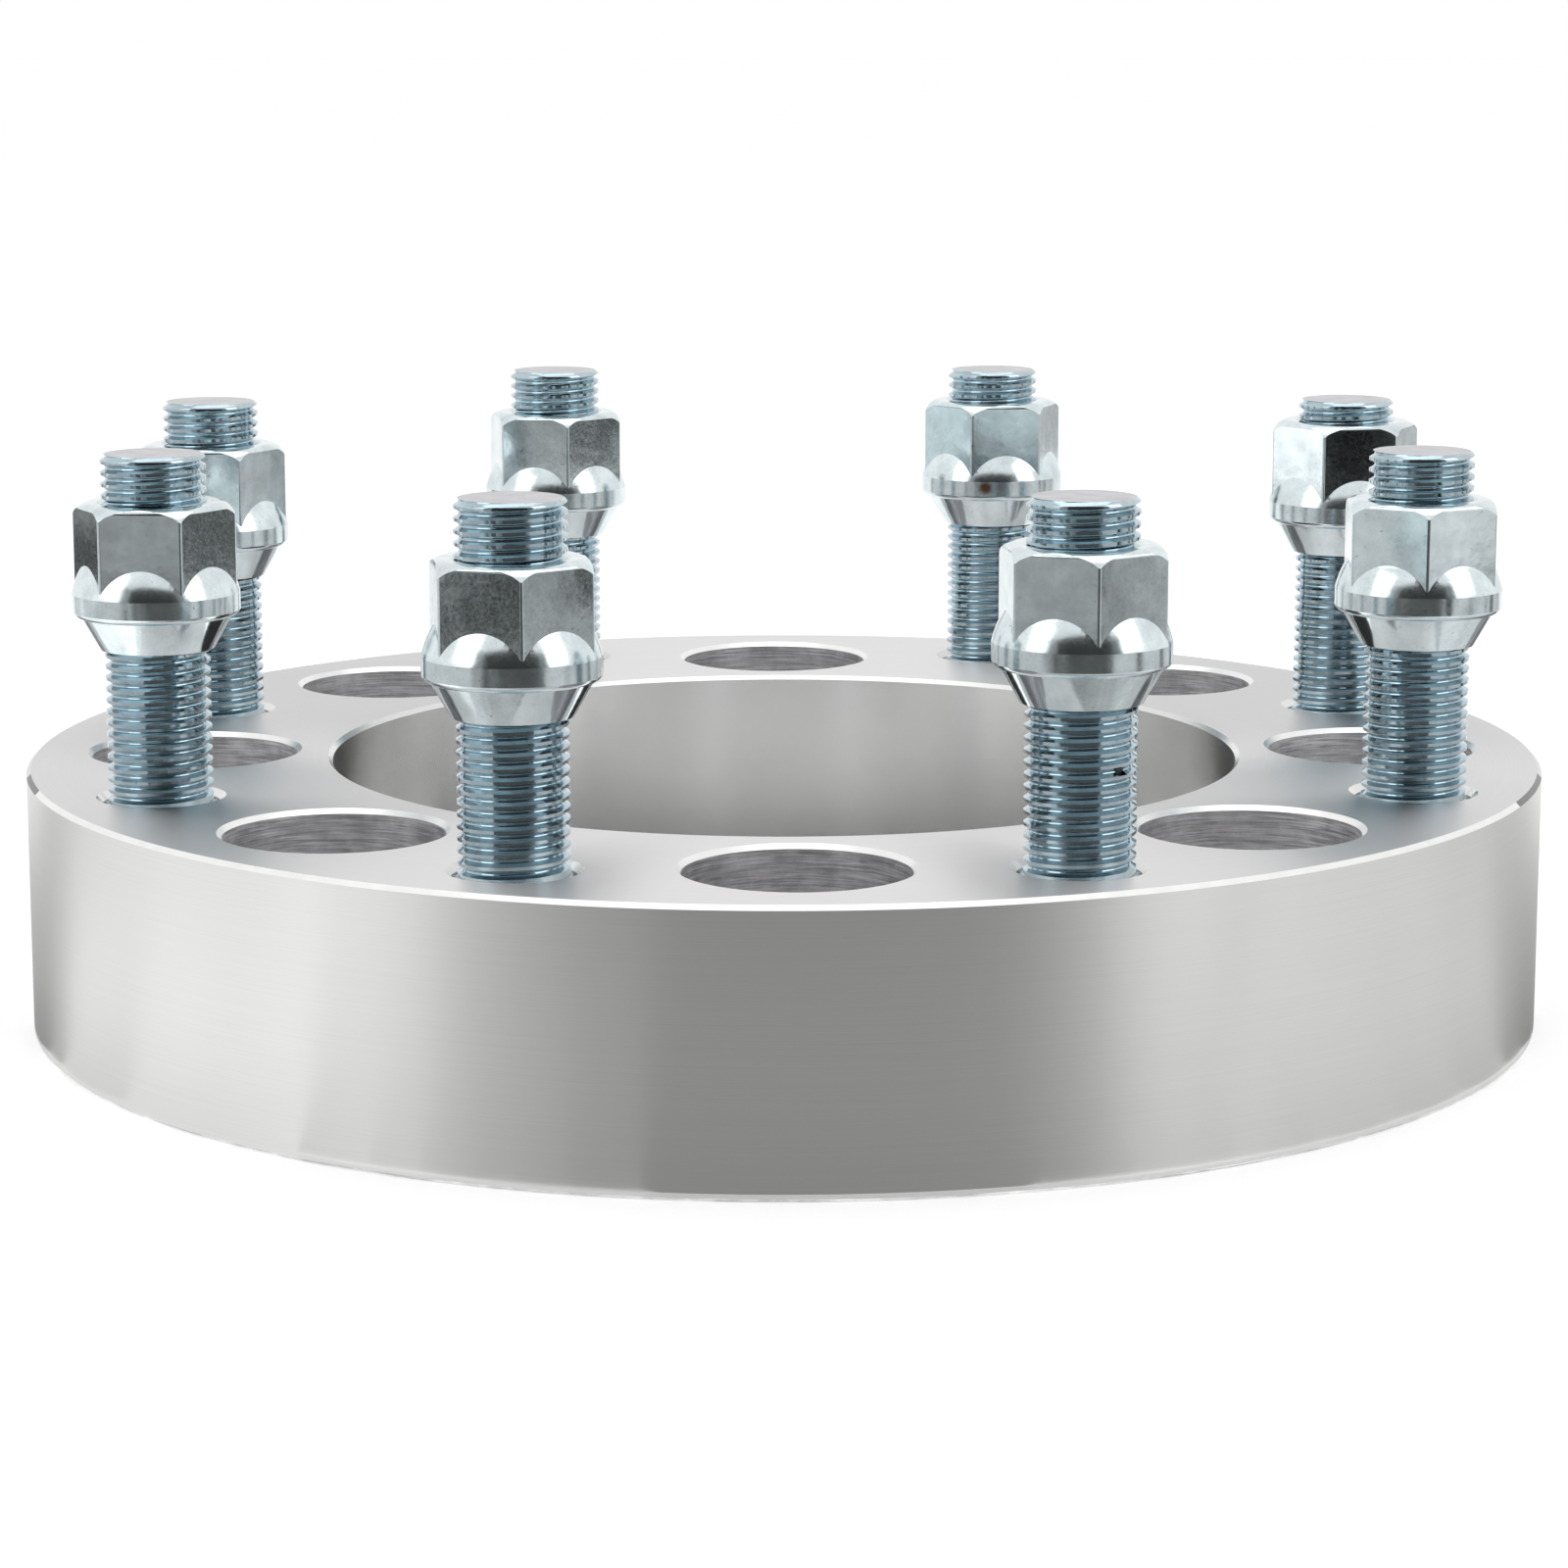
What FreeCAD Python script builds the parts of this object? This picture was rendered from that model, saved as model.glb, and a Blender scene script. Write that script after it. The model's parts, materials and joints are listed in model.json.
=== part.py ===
"""Wheel spacer with eight pressed studs and eight lug nuts, in millimetres.

The ring lies flat with its hub face on Z = 0 and its wheel face up. The origin is the centre of
the hub face. Pockets for the hub nuts lie on the X and Y axes and halfway between them, and the
wheel studs stand midway between the pockets, on a larger circle.
"""

import FreeCAD
import Part
import math
import operator
import os

import Sketcher

NUT_COUNT_SHOWN = 8

SIZES = {
    # Ring
    "ring_diameter": 210.0,
    "ring_thickness": 36.0,
    "bore_diameter": 126.2,
    "rim_chamfer": 0.6,
    "bore_chamfer": 0.6,
    "hub_rim_chamfer": 0.4,
    "hub_bore_chamfer": 1.0,
    "hole_count": 8,
    # Pockets that take the hub's own studs and nuts
    "lug_circle": 165.1,
    "pocket_diameter": 28.5,
    "pocket_chamfer": 0.65,
    "pocket_web": 12.0,
    "lug_hole_diameter": 15.5,
    "lug_seat_diameter": 24.0,
    "hub_hole_chamfer": 0.5,
    # Wheel studs and the holes that they are pressed into
    "stud_circle": 180.0,
    "stud_reach": 45.5,
    "stud_land": 14.6,
    "stud_hole_chamfer": 0.85,
    "thread_size": 14.0,
    "thread_pitch": 1.5,
    "crest_allowance": 0.2,
    "neck_below_face": 0.6,
    "neck_above_face": 1.0,
    "knurl_diameter": 15.4,
    "knurl_teeth": 30,
    "knurl_depth": 0.35,
    "press_gap": 0.01,
    "head_diameter": 19.8,
    "head_thickness": 4.5,
    "head_chamfer": 0.7,
    "head_room": 0.4,
    "tip_chamfer": 0.3,
    # Lug nuts
    "cone_angle": 60.0,
    "nut_height": 19.3,
    "hex_flats": 18.8,
    "hex_corner_radius": 0.4,
    "seat_tip_diameter": 15.0,
    "seat_length": 4.3,
    "collar_diameter": 22.0,
    "collar_bottom": 5.1,
    "collar_height": 2.3,
    "shoulder_height": 4.55,
    "shoulder_tuck": 0.4,
    "crown_diameter": 17.2,
    "crown_drop": 0.75,
    "corner_drop": 1.8,
    "countersink_diameter": 14.7,
    "thread_play": 0.05,
}

# How much stud stands clear above each nut, and how far round each nut was left, stud by stud.
STUD_SHOWING = (3.0, 4.7, 6.4, 6.1, 6.3, 7.2, 5.7, 6.2)
NUT_TURN = (5.4, 9.4, 42.3, 58.4, 55.1, 38.9, 35.6, 26.5)

# Lengths closer than this are the same.
HAIR = 1e-6

OPERATIONS = {"+": operator.add, "-": operator.sub, "*": operator.mul, "/": operator.truediv}


class Size:
    """A number together with the formula that ties it to the sheet."""

    def __init__(self, value, formula):
        self.value = float(value)
        self.formula = formula

    def __add__(self, other):
        return joined(self, other, "+")

    def __sub__(self, other):
        return joined(self, other, "-")

    def __mul__(self, other):
        return joined(self, other, "*")

    def __truediv__(self, other):
        return joined(self, other, "/")

    def __neg__(self):
        return Size(-self.value, f"(-{self.formula})")


def as_size(number):
    return number if isinstance(number, Size) else Size(number, repr(float(number)))


def joined(left, right, sign):
    left, right = as_size(left), as_size(right)
    return Size(OPERATIONS[sign](left.value, right.value), f"({left.formula} {sign} {right.formula})")


def root(size):
    return Size(math.sqrt(size.value), f"sqrt({size.formula})")


def sine(degrees):
    return Size(math.sin(math.radians(degrees.value)), f"sin({degrees.formula} * 1 deg)")


def cosine(degrees):
    return Size(math.cos(math.radians(degrees.value)), f"cos({degrees.formula} * 1 deg)")


def tangent(degrees):
    return Size(math.tan(math.radians(degrees.value)), f"tan({degrees.formula} * 1 deg)")


doc = FreeCAD.newDocument("wheel_spacer")
sheet = doc.addObject("Spreadsheet::Sheet", "sizes")


def fill_sheet():
    """One row for each driving dimension: its name, and its value under an alias."""
    rows = dict(SIZES)
    rows.update({f"stud_showing_{i}": value for i, value in enumerate(STUD_SHOWING, 1)})
    rows.update({f"nut_turn_{i}": value for i, value in enumerate(NUT_TURN, 1)})
    for row, (alias, value) in enumerate(rows.items(), 1):
        sheet.set(f"A{row}", alias)
        sheet.set(f"B{row}", str(value))
        sheet.setAlias(f"B{row}", alias)
    doc.recompute()
    return {alias: Size(value, f"sizes.{alias}") for alias, value in rows.items()}


size = fill_sheet()
ring_radius = size["ring_diameter"] / 2
bore_radius = size["bore_diameter"] / 2
thickness = size["ring_thickness"]
knurl_radius = size["knurl_diameter"] / 2
crest_radius = (size["thread_size"] - size["crest_allowance"]) / 2
# A 60 degree thread's pitch line lies 3/8 of the sharp form's height under its crests.
PITCH_LINE_DEPTH = 3 / 8 * math.sqrt(3) / 2
pitch_radius = size["thread_size"] / 2 - size["thread_pitch"] * PITCH_LINE_DEPTH
half_cone = size["cone_angle"] / 2


def origin_part(body, role):
    return next(feature for feature in body.Origin.OriginFeatures if feature.Role == role)


def new_body(label):
    body = doc.addObject("PartDesign::Body", label)
    body.Label = label
    return body


def new_sketch(body, name, plane):
    sketch = body.newObject("Sketcher::SketchObject", name)
    sketch.AttachmentSupport = [(origin_part(body, plane), "")]
    sketch.MapMode = "FlatFace"
    return sketch


def draw_outline(sketch, corners):
    """A closed outline of straight edges through the (x, y) corners."""
    corners = [tuple(as_size(part) for part in corner) for corner in corners]
    spots = [FreeCAD.Vector(across.value, up.value, 0) for across, up in corners]
    numbers = [
        sketch.addGeometry(Part.LineSegment(start, end), False)
        for start, end in zip(spots, spots[1:] + spots[:1])
    ]
    for number, after in zip(numbers, numbers[1:] + numbers[:1]):
        sketch.addConstraint(Sketcher.Constraint("Coincident", number, 2, after, 1))
    for number, corner in zip(numbers, corners):
        for kind, coordinate in zip(("DistanceX", "DistanceY"), corner):
            held = Sketcher.Constraint(kind, number, 1, coordinate.value)
            sketch.setExpression(f"Constraints[{sketch.addConstraint(held)}]", coordinate.formula)


def draw_circle(sketch, radius):
    circle = Part.Circle(FreeCAD.Vector(0, 0, 0), FreeCAD.Vector(0, 0, 1), radius.value)
    number = sketch.addGeometry(circle, False)
    sketch.addConstraint(Sketcher.Constraint("Coincident", number, 3, -1, 1))
    held = sketch.addConstraint(Sketcher.Constraint("Radius", number, radius.value))
    sketch.setExpression(f"Constraints[{held}]", radius.formula)


def turned(body, kind, name, corners, offset=None):
    """A revolved or grooved profile. Its axis is upright, and lies at offset from the body's own."""
    sketch = new_sketch(body, f"{name}_profile", "XZ_Plane")
    if offset is not None:
        across, inwards = offset
        sketch.setExpression(".AttachmentOffset.Base.x", across.formula)
        sketch.setExpression(".AttachmentOffset.Base.z", inwards.formula)
    draw_outline(sketch, corners)
    feature = body.newObject(f"PartDesign::{kind}", name)
    feature.Profile = sketch
    feature.ReferenceAxis = (sketch, ["V_Axis"])
    feature.Angle = 360
    doc.recompute()
    return feature


def around(body, name, feature, count):
    """Copies of a feature, evenly spaced round the body's upright axis."""
    pattern = body.newObject("PartDesign::PolarPattern", name)
    pattern.Originals = [feature]
    pattern.Axis = (origin_part(body, "Z_Axis"), [""])
    pattern.Angle = 360
    pattern.setExpression("Occurrences", count.formula)
    body.Tip = pattern
    doc.recompute()
    return pattern


def round_edges(feature, radius, height):
    """Names of the circular edges of this radius at this height, centred on the upright axis."""
    names = []
    for number, edge in enumerate(feature.Shape.Edges, 1):
        if not isinstance(edge.Curve, Part.Circle):
            continue
        centre = edge.Curve.Center
        centred = math.hypot(centre.x, centre.y) < HAIR
        if centred and abs(edge.Curve.Radius - radius) < HAIR and abs(centre.z - height) < HAIR:
            names.append(f"Edge{number}")
    return names


def chamfer_round_edge(body, name, radius, height, width):
    base = body.Tip
    chamfer = body.newObject("PartDesign::Chamfer", name)
    chamfer.Base = (base, round_edges(base, radius.value, height.value))
    chamfer.setExpression("Size", width.formula)
    doc.recompute()


def build_ring():
    """The ring: a plain disc with its bore, stud holes and lug pockets."""
    body = new_body("spacer_ring")
    outline = new_sketch(body, "ring_outline", "XY_Plane")
    draw_circle(outline, ring_radius)
    draw_circle(outline, bore_radius)
    disc = body.newObject("PartDesign::Pad", "disc")
    disc.Profile = outline
    disc.setExpression("Length", thickness.formula)
    doc.recompute()
    floor = as_size(0)
    chamfer_round_edge(body, "rim", ring_radius, thickness, size["rim_chamfer"])
    chamfer_round_edge(body, "bore_rim", bore_radius, thickness, size["bore_chamfer"])
    chamfer_round_edge(body, "hub_rim", ring_radius, floor, size["hub_rim_chamfer"])
    chamfer_round_edge(body, "hub_bore_rim", bore_radius, floor, size["hub_bore_chamfer"])

    hole_radius = knurl_radius + size["press_gap"]
    recess_radius = size["head_diameter"] / 2 + size["head_room"]
    recess_top = thickness - size["stud_land"]
    edge = size["stud_hole_chamfer"]
    back_edge = size["hub_hole_chamfer"]
    half_step = as_size(180) / size["hole_count"]
    stud_place = size["stud_circle"] / 2
    stud_hole = turned(body, "Groove", "stud_hole", [
        (0, -back_edge),
        (recess_radius + back_edge * 2, -back_edge),
        (recess_radius, back_edge),
        (recess_radius, recess_top),
        (hole_radius, recess_top),
        (hole_radius, thickness - edge),
        (hole_radius + edge * 2, thickness + edge),
        (0, thickness + edge),
    ], (stud_place * cosine(half_step), stud_place * sine(half_step)))
    around(body, "stud_holes", stud_hole, size["hole_count"])

    lug_radius = size["lug_hole_diameter"] / 2
    seat_radius = size["lug_seat_diameter"] / 2
    pocket_radius = size["pocket_diameter"] / 2
    seat_depth = (seat_radius - lug_radius) / tangent(half_cone)
    web = size["pocket_web"]
    edge = size["pocket_chamfer"]
    pocket = turned(body, "Groove", "lug_pocket", [
        (0, -back_edge),
        (lug_radius + back_edge * 2, -back_edge),
        (lug_radius, back_edge),
        (lug_radius, web - seat_depth),
        (seat_radius, web),
        (pocket_radius, web),
        (pocket_radius, thickness - edge),
        (pocket_radius + edge * 2, thickness + edge),
        (0, thickness + edge),
    ], (size["lug_circle"] / 2, as_size(0)))
    around(body, "lug_pockets", pocket, size["hole_count"])
    return body


def turned_place(body, number, circle, height):
    """Stand a body on a bolt circle, midway between two pockets."""
    step = as_size(360) / size["hole_count"]
    bearing = step * (number - 0.5)
    body.setExpression(".Placement.Base.x", (circle / 2 * cosine(bearing)).formula)
    body.setExpression(".Placement.Base.y", (circle / 2 * sine(bearing)).formula)
    body.setExpression(".Placement.Base.z", height.formula)


def build_stud(number):
    """A stud pressed in from the hub side. Its own origin is under its head."""
    body = new_body(f"stud_{number}")
    land = size["stud_land"]
    neck_bottom = land - size["neck_below_face"]
    neck_top = land + size["neck_above_face"]
    tip = land + size["stud_reach"]
    head_radius = size["head_diameter"] / 2
    head = size["head_thickness"]
    head_edge = size["head_chamfer"]
    turned(body, "Revolution", "shank", [
        (0, -head),
        (head_radius - head_edge, -head),
        (head_radius, head_edge - head),
        (head_radius, 0),
        (knurl_radius, 0),
        (knurl_radius, neck_bottom - (knurl_radius - crest_radius)),
        (crest_radius, neck_bottom),
        (crest_radius, neck_top),
        (pitch_radius, neck_top + (crest_radius - pitch_radius)),
        (pitch_radius, tip - size["tip_chamfer"]),
        (pitch_radius - size["tip_chamfer"], tip),
        (0, tip),
    ])
    depth = size["knurl_depth"]
    notch = new_sketch(body, "knurl_notch", "XY_Plane")
    draw_outline(notch, [
        (knurl_radius - depth, 0),
        (knurl_radius + depth, depth * -2),
        (knurl_radius + depth, depth * 2),
    ])
    cut = body.newObject("PartDesign::Pocket", "knurl_cut")
    cut.Profile = notch
    cut.Reversed = True
    cut.setExpression("Length", neck_bottom.formula)
    doc.recompute()
    around(body, "knurl", cut, size["knurl_teeth"])
    turned_place(body, number, size["stud_circle"], thickness - land)
    return body


def build_nut(number):
    """A forged lug nut with a hexagon, a scalloped shoulder, a collar and a cone seat."""
    body = new_body(f"lug_nut_{number}")
    top = size["nut_height"]
    flat = size["hex_flats"] / 2
    corner = size["hex_flats"] / math.sqrt(3)
    collar_radius = size["collar_diameter"] / 2
    collar_bottom = size["collar_bottom"]
    collar_top = collar_bottom + size["collar_height"]
    collar_middle = collar_bottom + size["collar_height"] / 2

    hexagon = new_sketch(body, "hexagon", "XY_Plane")
    hexagon.setExpression(".AttachmentOffset.Base.z", collar_middle.formula)
    draw_outline(hexagon, [
        (corner, 0),
        (corner / 2, flat),
        (-corner / 2, flat),
        (-corner, 0),
        (-corner / 2, -flat),
        (corner / 2, -flat),
    ])
    prism = body.newObject("PartDesign::Pad", "hex")
    prism.Profile = hexagon
    prism.setExpression("Length", (top - collar_middle).formula)
    doc.recompute()
    upright = [
        f"Edge{place}" for place, edge in enumerate(prism.Shape.Edges, 1)
        if 1 - abs(edge.tangentAt(edge.FirstParameter).z) < HAIR
    ]
    corners = body.newObject("PartDesign::Fillet", "hex_corners")
    corners.Base = (prism, upright)
    corners.setExpression("Radius", size["hex_corner_radius"].formula)
    doc.recompute()

    crown_radius = size["crown_diameter"] / 2
    drop = size["corner_drop"]
    turned(body, "Groove", "crown", [
        (crown_radius, top),
        (crown_radius, top + drop),
        (corner + drop, top + drop),
        (corner + drop, top - drop),
        (corner, top - drop),
        (flat, top - size["crown_drop"]),
    ])

    seat_tip = size["seat_tip_diameter"] / 2
    seat_top = size["seat_length"]
    cone_radius = seat_tip + seat_top * tangent(half_cone)
    turned(body, "Revolution", "seat_and_collar", [
        (0, 0),
        (seat_tip, 0),
        (cone_radius, seat_top),
        (collar_radius, collar_bottom),
        (collar_radius, collar_top),
        (flat - size["shoulder_tuck"], collar_top + size["shoulder_height"]),
        (0, collar_top + size["shoulder_height"]),
    ])

    bore_radius_in_nut = pitch_radius + size["thread_play"]
    mouth_radius = size["countersink_diameter"] / 2
    mouth = (mouth_radius - bore_radius_in_nut) / tangent(as_size(45))
    turned(body, "Groove", "threaded_bore", [
        (0, -mouth),
        (mouth_radius + mouth, -mouth),
        (bore_radius_in_nut, mouth),
        (bore_radius_in_nut, top - mouth),
        (mouth_radius + mouth, top + mouth),
        (0, top + mouth),
    ])
    shown = (number - 1) % NUT_COUNT_SHOWN + 1
    height = thickness + size["stud_reach"] - size[f"stud_showing_{shown}"] - top
    turned_place(body, number, size["stud_circle"], height)
    body.Placement.Rotation = FreeCAD.Rotation(FreeCAD.Vector(0, 0, 1), 0)
    body.setExpression(".Placement.Rotation.Angle", size[f"nut_turn_{shown}"].formula)
    return body


def check(bodies):
    """Stop if any object failed or any piece isn't one sound solid."""
    for item in doc.Objects:
        if "Invalid" in item.State or "Error" in item.State:
            raise RuntimeError(f"{item.Label} failed: {item.State}")
    for body in bodies:
        if body.Shape.isNull() or not body.Shape.isValid() or len(body.Shape.Solids) != 1:
            raise RuntimeError(f"{body.Label} isn't one sound solid")


def main():
    numbers = range(1, int(SIZES["hole_count"]) + 1)
    bodies = [build_ring()]
    bodies += [build_stud(number) for number in numbers]
    bodies += [build_nut(number) for number in numbers]
    doc.recompute()
    check(bodies)
    os.makedirs("parts", exist_ok=True)
    for body in bodies:
        body.Shape.exportStep(f"parts/{body.Label}.step")
        box = body.Shape.BoundBox
        print(f"{body.Label}: {body.Shape.Volume:.1f} mm3, z {box.ZMin:.2f} to {box.ZMax:.2f}")


main()
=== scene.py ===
"""The looks of the wheel spacer: a turned ring, rolled wheel studs and forged lug nuts."""

import bpy
import json
import math
from operator import itemgetter
from bpy.props import (
    BoolProperty, FloatProperty, FloatVectorProperty, IntProperty, PointerProperty,
)
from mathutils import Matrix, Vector

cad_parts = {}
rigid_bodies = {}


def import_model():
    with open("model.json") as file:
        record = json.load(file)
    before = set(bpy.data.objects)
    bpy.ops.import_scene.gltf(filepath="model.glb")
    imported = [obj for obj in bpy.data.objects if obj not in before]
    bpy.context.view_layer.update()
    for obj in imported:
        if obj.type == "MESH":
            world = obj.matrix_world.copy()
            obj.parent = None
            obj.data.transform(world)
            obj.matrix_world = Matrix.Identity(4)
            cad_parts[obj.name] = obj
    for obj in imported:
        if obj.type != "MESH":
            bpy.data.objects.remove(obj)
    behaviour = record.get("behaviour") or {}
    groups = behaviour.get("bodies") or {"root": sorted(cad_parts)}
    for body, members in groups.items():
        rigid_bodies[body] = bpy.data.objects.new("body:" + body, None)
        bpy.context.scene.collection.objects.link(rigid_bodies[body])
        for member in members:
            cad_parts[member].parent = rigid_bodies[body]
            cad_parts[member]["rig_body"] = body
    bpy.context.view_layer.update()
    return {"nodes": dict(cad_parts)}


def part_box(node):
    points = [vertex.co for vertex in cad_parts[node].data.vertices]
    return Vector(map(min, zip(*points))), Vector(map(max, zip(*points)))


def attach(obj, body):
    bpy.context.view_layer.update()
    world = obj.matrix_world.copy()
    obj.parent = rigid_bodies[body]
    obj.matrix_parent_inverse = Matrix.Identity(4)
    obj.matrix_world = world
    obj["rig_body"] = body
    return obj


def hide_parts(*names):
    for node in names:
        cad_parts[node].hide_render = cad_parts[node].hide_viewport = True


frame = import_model()

bl_info = {
    "name": "Wheel spacer",
    "version": (1, 0, 0),
    "blender": (4, 5, 0),
    "location": "3D View > Sidebar > Wheel spacer",
    "description": "Models a turned wheel spacer with pressed studs and parked lug nuts",
    "category": "Object",
}

MM = 0.001
STUDS = sorted(name for name in frame["nodes"] if name.startswith("stud_"))
NUTS = sorted(name for name in frame["nodes"] if name.startswith("lug_nut_"))
RING_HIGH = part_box("spacer_ring")[1]
STUD_LOW, STUD_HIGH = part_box(STUDS[0])
# Circles are drawn with this many sides.
RING_SIDES, BORE_SIDES, POCKET_SIDES, STUD_HOLE_SIDES, NUT_SIDES = 360, 240, 96, 72, 120
# How far a cutting tool stands out past the face that it cuts.
SPARE = 2 * MM
# Depth of the fine lines left by a turning tool, and of the swells in zinc plate.
LINE_DEPTH = 0.02 * MM
SMOOTH_SWELL, FORGED_SWELL = 0.002 * MM, 0.02 * MM
FLOOR_SIZE, FLOOR_DROP, FLOOR_GLOW = 12, 0.05 * MM, 0.4
# Soft boxes: place, size and power.
LAMPS = (
    ("left_softbox", (-0.9, -0.5, 0.6), (0.6, 0.6), 1.2),
    ("right_softbox", (0.9, -0.5, 0.6), (0.6, 0.6), 1.2),
    ("top_softbox", (0, 0.1, 1.1), (0.9, 0.9), 2),
)
# Upright grey cards round the object: first and last bearing, brightness and height.
STANDING_DISTANCE = 1.2
STANDING_CARDS = (
    ("card_front", -34, 34, 0.04, 0.75),
    ("card_left", -50, -34, 0.30, 0.75),
    ("card_right", 34, 46, 0.20, 0.75),
)
# The floor's brightness as the rim mirrors it, from each bearing to the next.
FLOOR_BANDS = (
    (-84, 0.30), (-71, 0.62), (-67, 1.20), (-55, 1.45), (-36, 1.02), (-30, 0.86), (-26, 0.73),
    (-20, 0.76), (-15.5, 0.70), (-10.5, 0.54), (16, 0.58), (19.5, 0.60), (22.7, 0.68),
    (26, 0.73), (31, 0.83), (38, 0.91), (47, 0.86), (56, 0.76), (65, 0.34), (70, 0.20),
    (84, 0.70),
)
# Each band is two cards: share of that brightness, and start and end, counted from the rim.
BAND_CARDS = (("floor_card_near", 0.7, 0, 0.03), ("floor_card", 1.02, 0.03, 0.15))
# The floor farther off, as the studs and nuts mirror it: first and last bearing, and brightness.
FAR_START, FAR_END = 0.24, 1.3
FAR_BANDS = (
    ("far_left", -80, -34, 0.60),
    ("far_front", -34, 32, 0.10),
    ("far_right", 32, 80, 0.65),
    ("far_right_side", 80, 125, 0.70),
    ("far_left_side", -125, -80, 0.70),
)
# Two cards inside the ring, for its bore: brightness, then half width and place of both ends.
BORE_CARDS = (
    ("bore_card_front", 1.5, ((0.03, -0.055), (0.06, -0.01))),
    ("bore_card_back", 0.03, ((0.06, -0.01), (0.03, 0.055))),
)
# Brightness of the cards that each nut's flats mirror to the camera, from left to right.
FLAT_GLINTS = {
    1: (1.5, 0.0, 0.5), 2: (0.30, 0.28, 0.47), 3: (0.33, 0.02), 4: (0.30, 0.30, 0.5),
    5: (0.02, 0.43, 0.05), 6: (0.02, 0.34), 7: (0.42, 0.45), 8: (0.65, 0.90),
}
# Those cards: the height up a nut that they are aimed at, the least cosine at which a flat
# counts as seen, the reach along the ray and half the width. Then the card that stands close by:
# its distance, half its width and half its height.
FLAT_AIM = 15 * MM
FLAT_SEEN = 0.25
FLAT_CARD_REACH, FLAT_CARD_HALF = (-0.12, 0.25), 0.027
CLOSE_CARD, CLOSE_HALF_WIDTH, CLOSE_HALF_HEIGHT = 0.16, 0.009, 0.012
# Arcs of the outer top chamfer, in degrees round from the front: a bright painted highlight,
# and a dark dash of painted reflection at each end of it.
RIM_PAINTED_HIGHLIGHT = (-73, 66)
RIM_PAINTED_DARK_REFLECTION = ((-80.3, -73), (66, 78))
# A square nick in one stud's thread: bearing from the front, height above the ring and size.
NICKED_STUD = 7
NICK_BEARING = 43
NICK_HEIGHT = 12.7 * MM
NICK_SIZE = (1.5 * MM, 1.5 * MM, 0.9 * MM)
# A brown stain on one nut's collar: bearing, height above the nut's foot, colour, and how far
# round its middle it is solid and where it ends.
STAINED_NUT = 2
STAIN_BEARING = -9
STAIN_HEIGHT = 6.5 * MM
STAIN_CORE, STAIN_EDGE = 0.4 * MM, 1.4 * MM
STAIN_BROWN = (0.28, 0.15, 0.09)
# How far round each nut was left on its stud: the bearing of one hexagon corner, in degrees.
NUT_TURNS = (5.4, 9.4, 42.3, 58.4, 55.1, 38.9, 35.6, 26.5)


def length(label, size, text):
    """A property for a size given in millimetres."""
    return FloatProperty(
        name=label, description=text, default=size * MM, min=0, precision=5,
        unit="LENGTH", subtype="DISTANCE",
    )


def colour(label, value, text):
    return FloatVectorProperty(
        name=label, description=text, default=value, size=3, min=0, max=1, subtype="COLOR",
    )


def share(label, value, text):
    return FloatProperty(
        name=label, description=text, default=value, min=0, max=1, subtype="FACTOR",
    )


class RingSizes(bpy.types.PropertyGroup):
    radius: length("Radius", RING_HIGH.x / MM, "Outside of the ring")
    thickness: length("Thickness", RING_HIGH.z / MM, "Hub face to wheel face")
    bore: length("Bore radius", 63.1, "Radius of the centre bore")
    rim: length("Rim chamfer", 0.6, "Chamfers of the wheel face, outside and at the bore")
    hub_rim: length("Hub rim chamfer", 0.4, "Chamfer round the hub face")
    hub_bore_rim: length("Hub bore chamfer", 1.0, "Lead-in chamfer of the bore")
    lug_circle: length("Lug circle radius", 82.55, "Circle of the lug pockets")
    pocket: length("Pocket radius", 14.25, "Radius of a lug pocket")
    pocket_rim: length("Pocket chamfer", 0.65, "Chamfer at the mouth of a lug pocket")
    web: length("Web", 12.0, "Metal left under a lug pocket")
    lug_hole: length("Lug hole radius", 7.75, "Hole for a hub stud")
    lug_seat: length("Lug seat radius", 12.0, "Wide end of the cone seat in a pocket")
    seat_drop: length("Lug seat depth", 7.361, "Depth of the cone seat in a pocket")
    back_rim: length("Back chamfer", 0.5, "Chamfers of the holes in the hub face")
    stud_hole: length("Stud hole radius", 7.71, "Hole that a knurl is pressed into")
    stud_rim: length("Stud hole chamfer", 0.85, "Chamfer round each stud")
    recess: length("Recess radius", 10.3, "Counterbore round a stud head")
    land: length("Stud land", 14.6, "Metal that each stud is pressed through")


class StudSizes(bpy.types.PropertyGroup):
    circle: length("Stud circle radius", 90.0, "Circle of the wheel studs")
    crest: length("Crest radius", 6.9, "Radius over the thread's crests")
    crest_width: length("Crest width", 0.4, "Flat left on the thread's crests")
    root_round: length("Root rounding", 0.5, "How far the rounded root reaches up each flank")
    pitch: length("Pitch", 1.5, "Rise of the thread in one turn")
    runout: length("Runout", 0.4, "Height over which the thread fades in above the neck")
    thread_end: length("Thread end", 0.5, "Where the thread runs out, below the wheel face")
    neck_below: length("Neck below", 0.6, "Plain neck below the wheel face")
    tip_width: length("Tip chamfer width", 0.5, "How far the end face is narrower than the thread")
    tip_height: length("Tip chamfer height", 0.75, "Height of the worn chamfer at the end")
    tip_bulge: length("Tip chamfer bulge", 0.14, "Outward bow of the worn chamfer")
    knurl: length("Knurl radius", 7.7, "Radius over the knurl's teeth")
    knurl_depth: length("Knurl depth", 0.35, "Depth of the notches between teeth")
    head: length("Head radius", 9.9, "Radius of the round head")
    head_height: length("Head height", 4.5, "Thickness of the head")
    head_round: length("Head rounding", 1.0, "Radius round the back of the head")
    teeth: IntProperty(name="Knurl teeth", description="Teeth of the knurl", default=30)


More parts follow.
